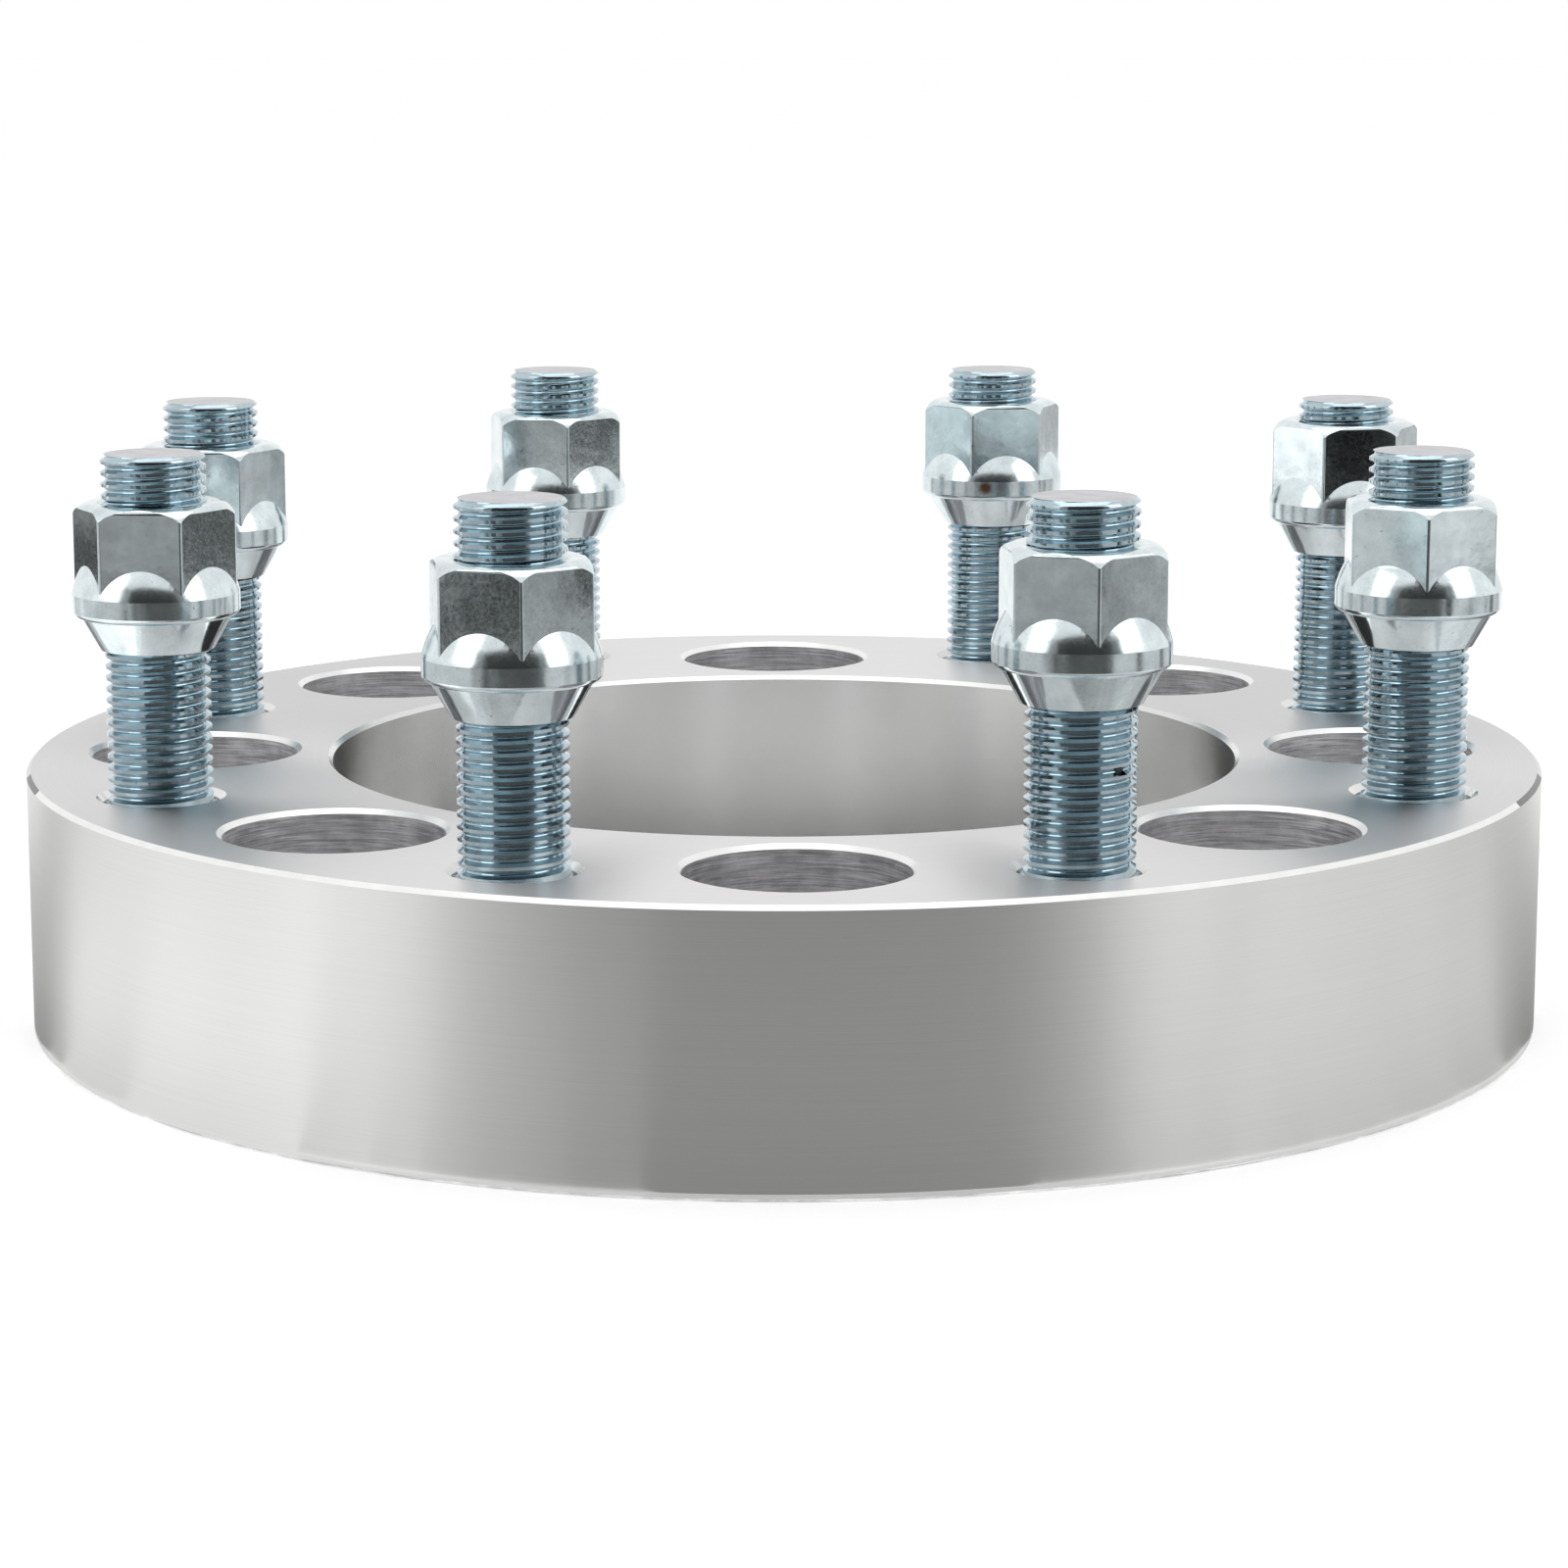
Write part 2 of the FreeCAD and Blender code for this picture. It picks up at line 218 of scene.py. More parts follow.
class NutSizes(bpy.types.PropertyGroup):
    height: length("Height", 19.3, "Seat tip to end face")
    flat: length("Flat", 9.4, "Axis to a flat of the hexagon")
    corner_round: length("Corner rounding", 0.45, "Radius along the hexagon's corners")
    seat_tip: length("Seat tip radius", 7.5, "Narrow end of the cone seat")
    seat_length: length("Seat length", 4.3, "Height of the cone seat")
    collar: length("Collar radius", 11.0, "Radius of the collar")
    collar_low: length("Collar bottom", 5.1, "Height of the collar's lower edge")
    collar_high: length("Collar top", 7.4, "Height of the collar's upper edge")
    shoulder_top: length("Shoulder top", 11.95, "Height at which the shoulder meets the hexagon")
    shoulder_tuck: length("Shoulder tuck", 0.4, "How far the shoulder ends inside a flat")
    shoulder_bulge: length("Shoulder bulge", 0.22, "Outward bow of the shoulder")
    edge_round: length("End edge rounding", 0.75, "Rounding between the flats and the end face")
    crown: length("Crown radius", 8.6, "Radius at which the corners start to fall away")
    crown_drop: length("Crown drop", 1.8, "How far the corners fall away")
    crown_bulge: length("Crown bulge", 0.35, "Outward bow of the fallen corners")
    mouth: length("Mouth radius", 7.35, "Wide end of the thread's countersink")
    play: length("Thread play", 0.03, "Room between the thread's crests and the bore")
    soft_edge: length("Soft edge", 0.16, "Width of the rounding on forged edges")


class Finishes(bpy.types.PropertyGroup):
    aluminium: colour("Aluminium", (0.75, 0.75, 0.74), "Turned faces of the ring")
    # A darker tint than the turned faces: painted shade on the ring's wheel face.
    wheel_face_shade_tint: colour("Aluminium face", (0.68, 0.67, 0.67), "The ring's wheel face")
    # Fresh chamfers are a brighter tint, partly a painted highlight; scaled down, it is also the
    # outer chamfer's painted dark reflection.
    aluminium_edge: colour("Aluminium edge", (0.90, 0.90, 0.89), "Fresh chamfers of the holes")
    aluminium_bored: colour("Bored aluminium", (0.76, 0.75, 0.76), "Walls of the drilled pockets")
    aluminium_bore: colour("Bore aluminium", (0.78, 0.78, 0.77), "Wall of the centre bore")
    aluminium_roughness: share("Aluminium roughness", 0.40, "Roughness of the turned faces")
    bore_roughness: share("Bore roughness", 0.22, "Roughness of the bore's wall")
    stud_zinc: colour("Stud zinc", (0.50, 0.59, 0.63), "Blue passivated zinc of the studs")
    # A darker tint than the stud's zinc, as painted shade in the thread's groove.
    groove_painted_shade_zinc: colour("Groove zinc", (0.42, 0.54, 0.60), "Blue zinc in the thread")
    # The nick's faces are painted near-black.
    nick_near_black: colour("Bare steel", (0.05, 0.06, 0.07), "Dark steel where a thread is nicked")
    end_zinc: colour("End zinc", (0.54, 0.54, 0.56), "Lilac grey end faces of the studs")
    nut_zinc: colour("Nut zinc", (0.71, 0.79, 0.81), "Bright zinc of the lug nuts")
    zinc_roughness: share("Zinc roughness", 0.10, "Roughness of the plated steel")
    collar_roughness: share("Collar roughness", 0.16, "Duller plate of a nut's lower half")


class StageSizes(bpy.types.PropertyGroup):
    camera_side: FloatProperty(
        name="Camera side", description="Camera's place along X", default=-0.01175, unit="LENGTH",
    )
    camera_back: FloatProperty(
        name="Camera back", description="Camera's distance along Y", default=0.60628,
        unit="LENGTH",
    )
    camera_up: FloatProperty(
        name="Camera up", description="Camera's height", default=0.14474, unit="LENGTH",
    )
    camera_pitch: FloatProperty(
        name="Camera pitch", description="How far the camera looks down",
        default=math.radians(10.642), subtype="ANGLE",
    )
    camera_yaw: FloatProperty(
        name="Camera yaw", description="How far the camera is turned from +Y",
        default=math.radians(-1.11), subtype="ANGLE",
    )
    camera_lens: FloatProperty(
        name="Lens", description="Focal length in millimetres on a 36 mm sensor", default=100.64,
    )
    show_floor: BoolProperty(name="Floor", description="Lay the pale floor", default=True)


def deselect_all():
    bpy.ops.object.select_all(action="DESELECT")


def work_on(piece):
    """Make one object the only selected and the active one."""
    deselect_all()
    piece.select_set(True)
    bpy.context.view_layer.objects.active = piece


def face_outwards(piece):
    work_on(piece)
    bpy.ops.object.mode_set(mode="EDIT")
    bpy.ops.mesh.select_all(action="SELECT")
    bpy.ops.mesh.normals_make_consistent(inside=False)
    bpy.ops.object.mode_set(mode="OBJECT")


def turned_blank(name, outline, steps):
    """A solid turned about Z: a disc drawn up ring by ring through (radius, height) points."""
    deselect_all()
    radius, height = outline[0]
    bpy.ops.mesh.primitive_circle_add(
        vertices=steps, radius=radius, fill_type="NGON", location=(0, 0, height),
    )
    blank = bpy.context.object
    blank.name = name
    bpy.ops.object.transform_apply()
    bpy.ops.object.mode_set(mode="EDIT")
    bpy.ops.mesh.select_all(action="SELECT")
    for next_radius, next_height in outline[1:]:
        rise = (0, 0, next_height - height)
        bpy.ops.mesh.extrude_region_move(TRANSFORM_OT_translate={"value": rise})
        scale = next_radius / radius
        bpy.ops.transform.resize(
            value=(scale, scale, 1), center_override=(0, 0, next_height),
        )
        radius, height = next_radius, next_height
    bpy.ops.object.mode_set(mode="OBJECT")
    face_outwards(blank)
    return blank


def repeat_round(piece, count, circle, bearing):
    """Move a turned piece out to a circle and repeat it round Z, as one mesh."""
    work_on(piece)
    bpy.ops.object.mode_set(mode="EDIT")
    bpy.ops.mesh.select_all(action="SELECT")
    out = (circle * math.cos(bearing), circle * math.sin(bearing), 0)
    bpy.ops.transform.translate(value=out)
    bpy.ops.mesh.spin(
        steps=count - 1, dupli=True, angle=math.tau * (count - 1) / count,
        center=(0, 0, 0), axis=(0, 0, 1),
    )
    bpy.ops.object.mode_set(mode="OBJECT")


def combine(piece, tool, operation):
    """Join, trim or cut a piece with a tool, and put the tool away."""
    work_on(piece)
    bpy.ops.object.modifier_add(type="BOOLEAN")
    modifier = piece.modifiers[-1]
    modifier.operation = operation
    modifier.solver = "EXACT"
    modifier.material_mode = "TRANSFER"
    modifier.object = tool
    bpy.ops.object.modifier_apply(modifier=modifier.name)
    bpy.data.objects.remove(tool)


def arc(start, end, bulge, steps):
    """Points after start, up to end, on the arc that bows out by bulge on the right."""
    start, end = Vector(start), Vector(end)
    chord = end - start
    across = Vector((chord.y, -chord.x)).normalized()
    radius = (chord.length_squared / 4 / bulge + bulge) / 2
    centre = (start + end) / 2 + across * (bulge - radius)
    half = math.asin(chord.length / 2 / radius)
    along = chord.normalized()
    points = []
    for step in range(1, steps + 1):
        angle = -half + 2 * half * step / steps
        point = centre + across * radius * math.cos(angle) + along * radius * math.sin(angle)
        points.append(tuple(point))
    return points


def finish_piece(piece, body, slot, sharp_angle, *nodes):
    """Shade a finished piece, and let it stand for its CAD nodes."""
    work_on(piece)
    bpy.ops.object.shade_smooth_by_angle(angle=sharp_angle)
    bpy.ops.object.modifier_add(type="WEIGHTED_NORMAL")
    weighted = piece.modifiers[-1]
    weighted.keep_sharp = True
    bpy.ops.object.modifier_apply(modifier=weighted.name)
    for node in nodes:
        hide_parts(node)
    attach(piece, body)


def body_of(node):
    return frame["nodes"][node]["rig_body"]


def paint(piece, material):
    piece.data.materials.clear()
    piece.data.materials.append(material)


def paint_faces(piece, material, chosen):
    """Give the chosen faces of a piece a material of their own."""
    number = len(piece.data.materials)
    piece.data.materials.append(material)
    for face in piece.data.polygons:
        if chosen(face):
            face.material_index = number


class Nodes:
    """Short hands for building a node tree."""

    def __init__(self, tree):
        self.tree = tree

    def add(self, kind, **settings):
        node = self.tree.nodes.new(kind)
        for name, value in settings.items():
            setattr(node, name, value)
        return node

    def link(self, source, target):
        self.tree.links.new(source, target)

    def fill(self, node, **inputs):
        for name, value in inputs.items():
            socket = node.inputs[name.replace("_", " ")]
            if isinstance(value, bpy.types.NodeSocket):
                self.link(value, socket)
            else:
                socket.default_value = value
        return node

    def math(self, operation, first, second=None):
        node = self.add("ShaderNodeMath", operation=operation)
        for socket, value in zip(node.inputs, (first, second)):
            if isinstance(value, bpy.types.NodeSocket):
                self.link(value, socket)
            elif value is not None:
                socket.default_value = value
        return node.outputs[0]


def new_group(name, inputs, outputs):
    """An empty shader node group with float inputs and the named outputs."""
    tree = bpy.data.node_groups.new(name, "ShaderNodeTree")
    for label, value in inputs.items():
        socket = tree.interface.new_socket(label, in_out="INPUT", socket_type="NodeSocketFloat")
        socket.default_value = value
    for label in outputs:
        tree.interface.new_socket(label, in_out="OUTPUT", socket_type="NodeSocketFloat")
    nodes = Nodes(tree)
    return tree, nodes, nodes.add("NodeGroupInput").outputs, nodes.add("NodeGroupOutput").inputs


def tool_mark_group():
    """Fine lines left by a turning tool round the Z axis, without a seam."""
    tree, nodes, given, result = new_group(
        "tool_marks", {"Lines": 6000, "Facing": 6000, "Streak": 3, "Patch": 40},
        ("Lines", "Patches"),
    )
    place = nodes.add("ShaderNodeTexCoord").outputs["Object"]
    parts = nodes.fill(nodes.add("ShaderNodeSeparateXYZ"), Vector=place).outputs
    flat = nodes.add("ShaderNodeCombineXYZ")
    nodes.link(parts["X"], flat.inputs["X"])
    nodes.link(parts["Y"], flat.inputs["Y"])
    distance = nodes.add("ShaderNodeVectorMath", operation="LENGTH")
    nodes.link(flat.outputs[0], distance.inputs[0])
    radius = distance.outputs["Value"]
    east = nodes.math("DIVIDE", parts["X"], radius)
    north = nodes.math("DIVIDE", parts["Y"], radius)
    spot = nodes.add("ShaderNodeCombineXYZ")
    nodes.link(nodes.math("MULTIPLY", radius, given["Facing"]), spot.inputs["X"])
    nodes.link(nodes.math("MULTIPLY", parts["Z"], given["Lines"]), spot.inputs["Y"])
    nodes.link(nodes.math("MULTIPLY", east, given["Streak"]), spot.inputs["Z"])
    lines = nodes.add("ShaderNodeTexNoise", noise_dimensions="4D")
    nodes.fill(
        lines, Vector=spot.outputs[0], W=nodes.math("MULTIPLY", north, given["Streak"]),
        Scale=1.0, Detail=2.0, Roughness=0.6,
    )
    nodes.link(lines.outputs["Fac"], result["Lines"])
    patches = nodes.add("ShaderNodeTexNoise")
    nodes.fill(patches, Vector=place, Scale=given["Patch"], Detail=3.0, Roughness=0.6)
    nodes.link(patches.outputs["Fac"], result["Patches"])
    return tree


def mottle_group():
    """The soft unevenness, fine grain and dark specks of zinc plate on forged steel."""
    tree, nodes, given, result = new_group(
        "plate_mottle", {"Swell": 350, "Grain": 2500, "Specks": 1800},
        ("Swell", "Grain", "Specks"),
    )
    place = nodes.add("ShaderNodeTexCoord").outputs["Object"]
    noises = {}
    layers = (("Swell", 2.0, 0.5), ("Grain", 4.0, 0.65), ("Specks", 1.0, 0.5))
    for label, detail, roughness in layers:
        noise = nodes.fill(
            nodes.add("ShaderNodeTexNoise"), Vector=place, Scale=given[label], Detail=detail,
            Roughness=roughness,
        )
        noises[label] = noise.outputs["Fac"]
    spots = nodes.add("ShaderNodeMapRange", interpolation_type="SMOOTHSTEP")
    nodes.fill(spots, Value=noises["Specks"], From_Min=0.7, From_Max=0.8)
    nodes.link(noises["Swell"], result["Swell"])
    nodes.link(noises["Grain"], result["Grain"])
    nodes.link(spots.outputs["Result"], result["Specks"])
    return tree


def new_material(name):
    material = bpy.data.materials.new(name)
    material.use_nodes = True
    nodes = Nodes(material.node_tree)
    return material, nodes, material.node_tree.nodes["Principled BSDF"]


def placed_group(nodes, tree, **inputs):
    node = nodes.add("ShaderNodeGroup", node_tree=tree)
    return nodes.fill(node, **inputs).outputs


def ranged(nodes, value, low, high):
    """A 0 to 1 pattern spread between two values."""
    node = nodes.add("ShaderNodeMapRange")
    nodes.fill(node, Value=value, To_Min=low, To_Max=high)
    return node.outputs["Result"]


def tinted(nodes, value, dark, light):
    """A colour between two, by a pattern."""
    node = nodes.add("ShaderNodeMix", data_type="RGBA")
    nodes.link(value, node.inputs["Factor"])
    # The colour sockets of this node share their names with its number sockets.
    sockets = [socket for socket in node.inputs if socket.type == "RGBA"]
    for socket, tint in zip(sockets, (dark, light)):
        if isinstance(tint, bpy.types.NodeSocket):
            nodes.link(tint, socket)
        else:
            socket.default_value = (*tint, 1)
    return next(socket for socket in node.outputs if socket.type == "RGBA")


def scaled(value, factor):
    return tuple(part * factor for part in value)


def turned_aluminium(name, tint, roughness, marks):
    material, nodes, shader = new_material(name)
    pattern = placed_group(nodes, marks, Lines=9000.0, Facing=9000.0, Streak=2.5, Patch=28.0)
    base = tinted(nodes, pattern["Lines"], scaled(tint, 0.93), scaled(tint, 1.05))
    bump = nodes.add("ShaderNodeBump")
    nodes.fill(bump, Strength=0.35, Distance=LINE_DEPTH, Height=pattern["Lines"])
    rough = ranged(nodes, pattern["Patches"], roughness - 0.04, roughness + 0.04)
    tangent = nodes.add("ShaderNodeTangent", direction_type="RADIAL", axis="Z")
    nodes.fill(
        shader, Base_Color=base, Metallic=1.0, Roughness=rough, Anisotropic=0.92,
        Anisotropic_Rotation=0.25, Tangent=tangent.outputs[0], Normal=bump.outputs[0],
    )
    return material


def bored_aluminium(tint, marks):
    """The walls left by a drill, with coarser lines than a turning tool leaves."""
    material, nodes, shader = new_material("bored_aluminium")
    pattern = placed_group(nodes, marks, Lines=3600.0, Facing=160.0, Streak=12.0, Patch=380.0)
    lined = nodes.math("ADD", pattern["Lines"], ranged(nodes, pattern["Patches"], -0.25, 0.25))
    base = tinted(nodes, ranged(nodes, lined, -1.0, 2.0), scaled(tint, 0.7), scaled(tint, 1.3))
    bump = nodes.add("ShaderNodeBump")
    nodes.fill(bump, Strength=0.8, Distance=3 * LINE_DEPTH, Height=pattern["Lines"])
    nodes.fill(
        shader, Base_Color=base, Metallic=1.0,
        Roughness=ranged(nodes, pattern["Lines"], 0.34, 0.5), Normal=bump.outputs[0],
    )
    return material


def edge_aluminium(name, dark, light, smoothest, marks):
    """A chamfer's tint, patchy between two colours and two roughnesses: fresh chamfers, painted
    highlights and painted reflections.
    """
    material, nodes, shader = new_material(name)
    pattern = placed_group(nodes, marks, Lines=9000.0, Facing=9000.0, Streak=40.0, Patch=400.0)
    bump = nodes.add("ShaderNodeBump")
    nodes.fill(bump, Strength=0.3, Distance=LINE_DEPTH, Height=pattern["Lines"])
    nodes.fill(
        shader, Base_Color=tinted(nodes, pattern["Patches"], dark, light), Metallic=1.0,
        Roughness=ranged(nodes, pattern["Patches"], smoothest, 0.4), Normal=bump.outputs[0],
    )
    return material


def stained(nodes, base, spot):
    """A small brown stain over a base colour, round one point."""
    place = nodes.add("ShaderNodeTexCoord").outputs["Object"]
    away = nodes.add("ShaderNodeVectorMath", operation="DISTANCE")
    nodes.link(place, away.inputs[0])
    away.inputs[1].default_value = spot
    covered = nodes.add("ShaderNodeMapRange", interpolation_type="SMOOTHSTEP")
    nodes.fill(covered, Value=away.outputs["Value"], From_Min=STAIN_EDGE, From_Max=STAIN_CORE)
    return tinted(nodes, covered.outputs["Result"], base, STAIN_BROWN)


def plated_steel(name, base_colour, roughness, mottle, swell_depth, stain=None):
    """Zinc plate: a clear tint with soft unevenness, grain and a few dark specks."""
    material, nodes, shader = new_material(name)
    pattern = placed_group(nodes, mottle, Swell=330.0, Grain=2600.0, Specks=1500.0)
    blotches = nodes.math("ADD", pattern["Grain"], ranged(nodes, pattern["Swell"], -1.0, 1.0))
    grained = tinted(nodes, blotches, scaled(base_colour, 0.84), scaled(base_colour, 1.10))
    base = tinted(nodes, pattern["Specks"], grained, scaled(base_colour, 0.72))
    if stain is not None:
        base = stained(nodes, base, stain)
    swell = nodes.add("ShaderNodeBump")
    nodes.fill(swell, Strength=1.0, Distance=swell_depth, Height=pattern["Swell"])
    grain = nodes.add("ShaderNodeBump")
    nodes.fill(
        grain, Strength=0.35, Distance=0.006 * MM, Height=pattern["Grain"],
        Normal=swell.outputs[0],
    )
    rough = ranged(nodes, pattern["Grain"], roughness - 0.05, roughness + 0.06)
    nodes.fill(shader, Base_Color=base, Metallic=1.0, Roughness=rough, Normal=grain.outputs[0])
    return material


def is_chamfer(face, way=1):
    """Whether a face is a 45 degree chamfer that looks up, or down with way set to -1."""
    return 0.6 < way * face.normal.z < 0.8


def on_rim(face, foot, *arcs):
    """Whether a face is on the outer top chamfer, within one of some arcs round from the front."""
    middle = face.center
    bearing = math.degrees(math.atan2(middle.x, -middle.y))
    within = any(first < bearing < last for first, last in arcs)
    return within and middle.xy.length > foot and is_chamfer(face)


class SPACER_OT_turn_ring(bpy.types.Operator):
    """Turn the ring, and bore its lug pockets and stud holes"""

    bl_idname = "spacer.turn_ring"
    bl_label = "Turn the ring"

    def execute(self, context):
        size = context.scene.spacer_ring
        finish = context.scene.spacer_finish
        marks = bpy.data.node_groups.get("tool_marks") or tool_mark_group()
        turned = turned_aluminium(
            "turned_aluminium", finish.aluminium, finish.aluminium_roughness, marks,
        )
        inner = turned_aluminium(
            "bore_aluminium", finish.aluminium_bore, finish.bore_roughness, marks,
        )
        bored = bored_aluminium(finish.aluminium_bored, marks)
        top = size.thickness
        ring = turned_blank("ring", [
            (size.radius - size.hub_rim, 0),
            (size.radius, size.hub_rim),
            (size.radius, top - size.rim),
            (size.radius - size.rim, top),
        ], RING_SIDES)
        paint(ring, turned)
        bore = turned_blank("bore_tool", [
            (size.bore + size.hub_bore_rim + SPARE, -SPARE),
            (size.bore, size.hub_bore_rim),
            (size.bore, top - size.rim),
            (size.bore + size.rim + SPARE, top + SPARE),
        ], BORE_SIDES)
        paint(bore, inner)
        combine(ring, bore, "DIFFERENCE")
        recess_top = top - size.land
        stud_hole = turned_blank("stud_hole_tool", [
            (size.recess + size.back_rim + SPARE, -SPARE),
            (size.recess, size.back_rim),
            (size.recess, recess_top),
            (size.stud_hole, recess_top),
            (size.stud_hole, top - size.stud_rim),
            (size.stud_hole + size.stud_rim + SPARE, top + SPARE),
        ], STUD_HOLE_SIDES)
        paint(stud_hole, inner)
        circle = context.scene.spacer_studs.circle
        repeat_round(stud_hole, len(STUDS), circle, math.pi / len(STUDS))
        combine(ring, stud_hole, "DIFFERENCE")
        pocket = turned_blank("pocket_tool", [
            (size.lug_hole + size.back_rim + SPARE, -SPARE),
            (size.lug_hole, size.back_rim),
            (size.lug_hole, size.web - size.seat_drop),
            (size.lug_seat, size.web),
            (size.pocket, size.web),
            (size.pocket, top - size.pocket_rim),
            (size.pocket + size.pocket_rim + SPARE, top + SPARE),
        ], POCKET_SIDES)
        paint(pocket, bored)
        repeat_round(pocket, len(STUDS), size.lug_circle, 0)
        combine(ring, pocket, "DIFFERENCE")
        walls = [material.name for material in ring.data.materials].index(bored.name)
        rim_foot = size.radius - size.rim
        edge = finish.aluminium_edge
        # Pocket chamfers, brighter partly as a painted highlight, and the outer chamfer's front
        # arc, a painted highlight.
        bright = edge_aluminium("cut_edge_and_painted_highlight", scaled(edge, 0.9), scaled(edge, 1.05), 0.24, marks)
        paint_faces(
            ring, bright,
            lambda face: is_chamfer(face)
            and (face.material_index == walls or on_rim(face, rim_foot, RIM_PAINTED_HIGHLIGHT)),
        )
        # The dark dashes at both ends of the bright arc are a painted reflection.
        dark = edge_aluminium("shaded_edge", scaled(edge, 0.16), scaled(edge, 0.24), 0.3, marks)
        paint_faces(ring, dark, lambda face: on_rim(face, rim_foot, *RIM_PAINTED_DARK_REFLECTION))
        # The downward chamfers, the ring's bottom edge among them, take the bored finish to darken
        # that edge as painted shade.
        paint_faces(ring, bored, lambda face: is_chamfer(face, -1))
        # The wheel face is painted a darker tint, as painted shade.
        wheel_face_shade = turned_aluminium(
            "wheel_face_painted_shade", finish.wheel_face_shade_tint, finish.aluminium_roughness, marks,
        )
        paint_faces(ring, wheel_face_shade, lambda face: face.normal.z > 0.99 and face.center.z > top - MM)
        finish_piece(
            ring, body_of("spacer_ring"), "ring_aluminium", math.radians(30), "spacer_ring",
        )
        return {"FINISHED"}


def stud_blank(size, steps):
    """A stud before its thread is rolled: head, knurl, neck and plain shank."""
    face = RING_HIGH.z
    bottom, tip = STUD_LOW.z, STUD_HIGH.z
    head_top = bottom + size.head_height
    knurl_top = face - size.neck_below - (size.knurl - size.crest)
    round_bulge = size.head_round * (1 - math.sqrt(0.5))
    corner = (size.head - size.head_round, bottom)
    chamfer_foot = (size.crest, tip - size.tip_height)
    chamfer_top = (size.crest - size.tip_width, tip)
    blank = turned_blank("stud", [
        corner,
        *arc(corner, (size.head, bottom + size.head_round), round_bulge, 6),
        (size.head, head_top),
        (size.knurl, head_top),
        (size.knurl, knurl_top),
        (size.crest, face - size.neck_below),
        chamfer_foot,
        *arc(chamfer_foot, chamfer_top, size.tip_bulge, 6),
    ], steps)
    notch = (size.knurl - size.knurl_depth) / size.knurl
    every = steps // size.teeth
    for vertex in blank.data.vertices:
        at = vertex.co
        on_knurl = abs(math.hypot(at.x, at.y) - size.knurl) < 1e-6
        column = round(math.atan2(at.y, at.x) / math.tau * steps)
        if on_knurl and column % every == 0:
            vertex.co = (at.x * notch, at.y * notch, at.z)
    return blank


def groove_coil(size, steps):
    """The thread's groove as a solid: a 60 degree triangle wound up the shank."""
    start = RING_HIGH.z - size.thread_end
    turns = math.ceil((STUD_HIGH.z - start) / size.pitch) + 1
    apex = size.crest - (size.pitch - size.crest_width) * math.cos(math.radians(30))
    mouth = size.crest + 0.2 * MM
    reach = (mouth - apex) / 1.5
    deselect_all()
    bpy.ops.mesh.primitive_circle_add(
        vertices=3, radius=reach, fill_type="NGON", location=(apex + reach, 0, start),
        rotation=(math.radians(90), math.radians(-90), 0),
    )
    coil = bpy.context.object
    coil.name = "groove_tool"
    bpy.ops.object.transform_apply()
    inmost = min(vertex.co.x for vertex in coil.data.vertices)
    bpy.ops.object.mode_set(mode="EDIT")
    bpy.ops.mesh.select_all(action="DESELECT")
    bpy.ops.mesh.select_mode(type="VERT")
    bpy.ops.object.mode_set(mode="OBJECT")
    for vertex in coil.data.vertices:
        vertex.select = abs(vertex.co.x - inmost) < 1e-7
    bpy.ops.object.mode_set(mode="EDIT")
    bpy.ops.mesh.bevel(offset=size.root_round, segments=4, affect="VERTICES")
    bpy.ops.mesh.select_all(action="SELECT")
    bpy.ops.mesh.delete(type="ONLY_FACE")
    bpy.ops.object.mode_set(mode="OBJECT")
    bpy.ops.object.modifier_add(type="SCREW")
    screw = coil.modifiers[-1]
    screw.steps = screw.render_steps = steps
    screw.iterations = turns
    screw.screw_offset = size.pitch
    bpy.ops.object.modifier_apply(modifier=screw.name)
    bpy.ops.object.mode_set(mode="EDIT")
    bpy.ops.mesh.select_all(action="SELECT")
    bpy.ops.mesh.remove_doubles(threshold=1e-7)
    bpy.ops.mesh.fill_holes(sides=0)
    bpy.ops.object.mode_set(mode="OBJECT")
    depth = size.crest - apex + 0.1 * MM
    for vertex in coil.data.vertices:
        x, y, z = vertex.co
        grown = min(max((z - start) / size.runout, 0), 1)
        radius = math.hypot(x, y)
        away = (radius + depth * (1 - grown) ** 2) / radius
        vertex.co = (x * away, y * away, z)
    face_outwards(coil)
    return coil


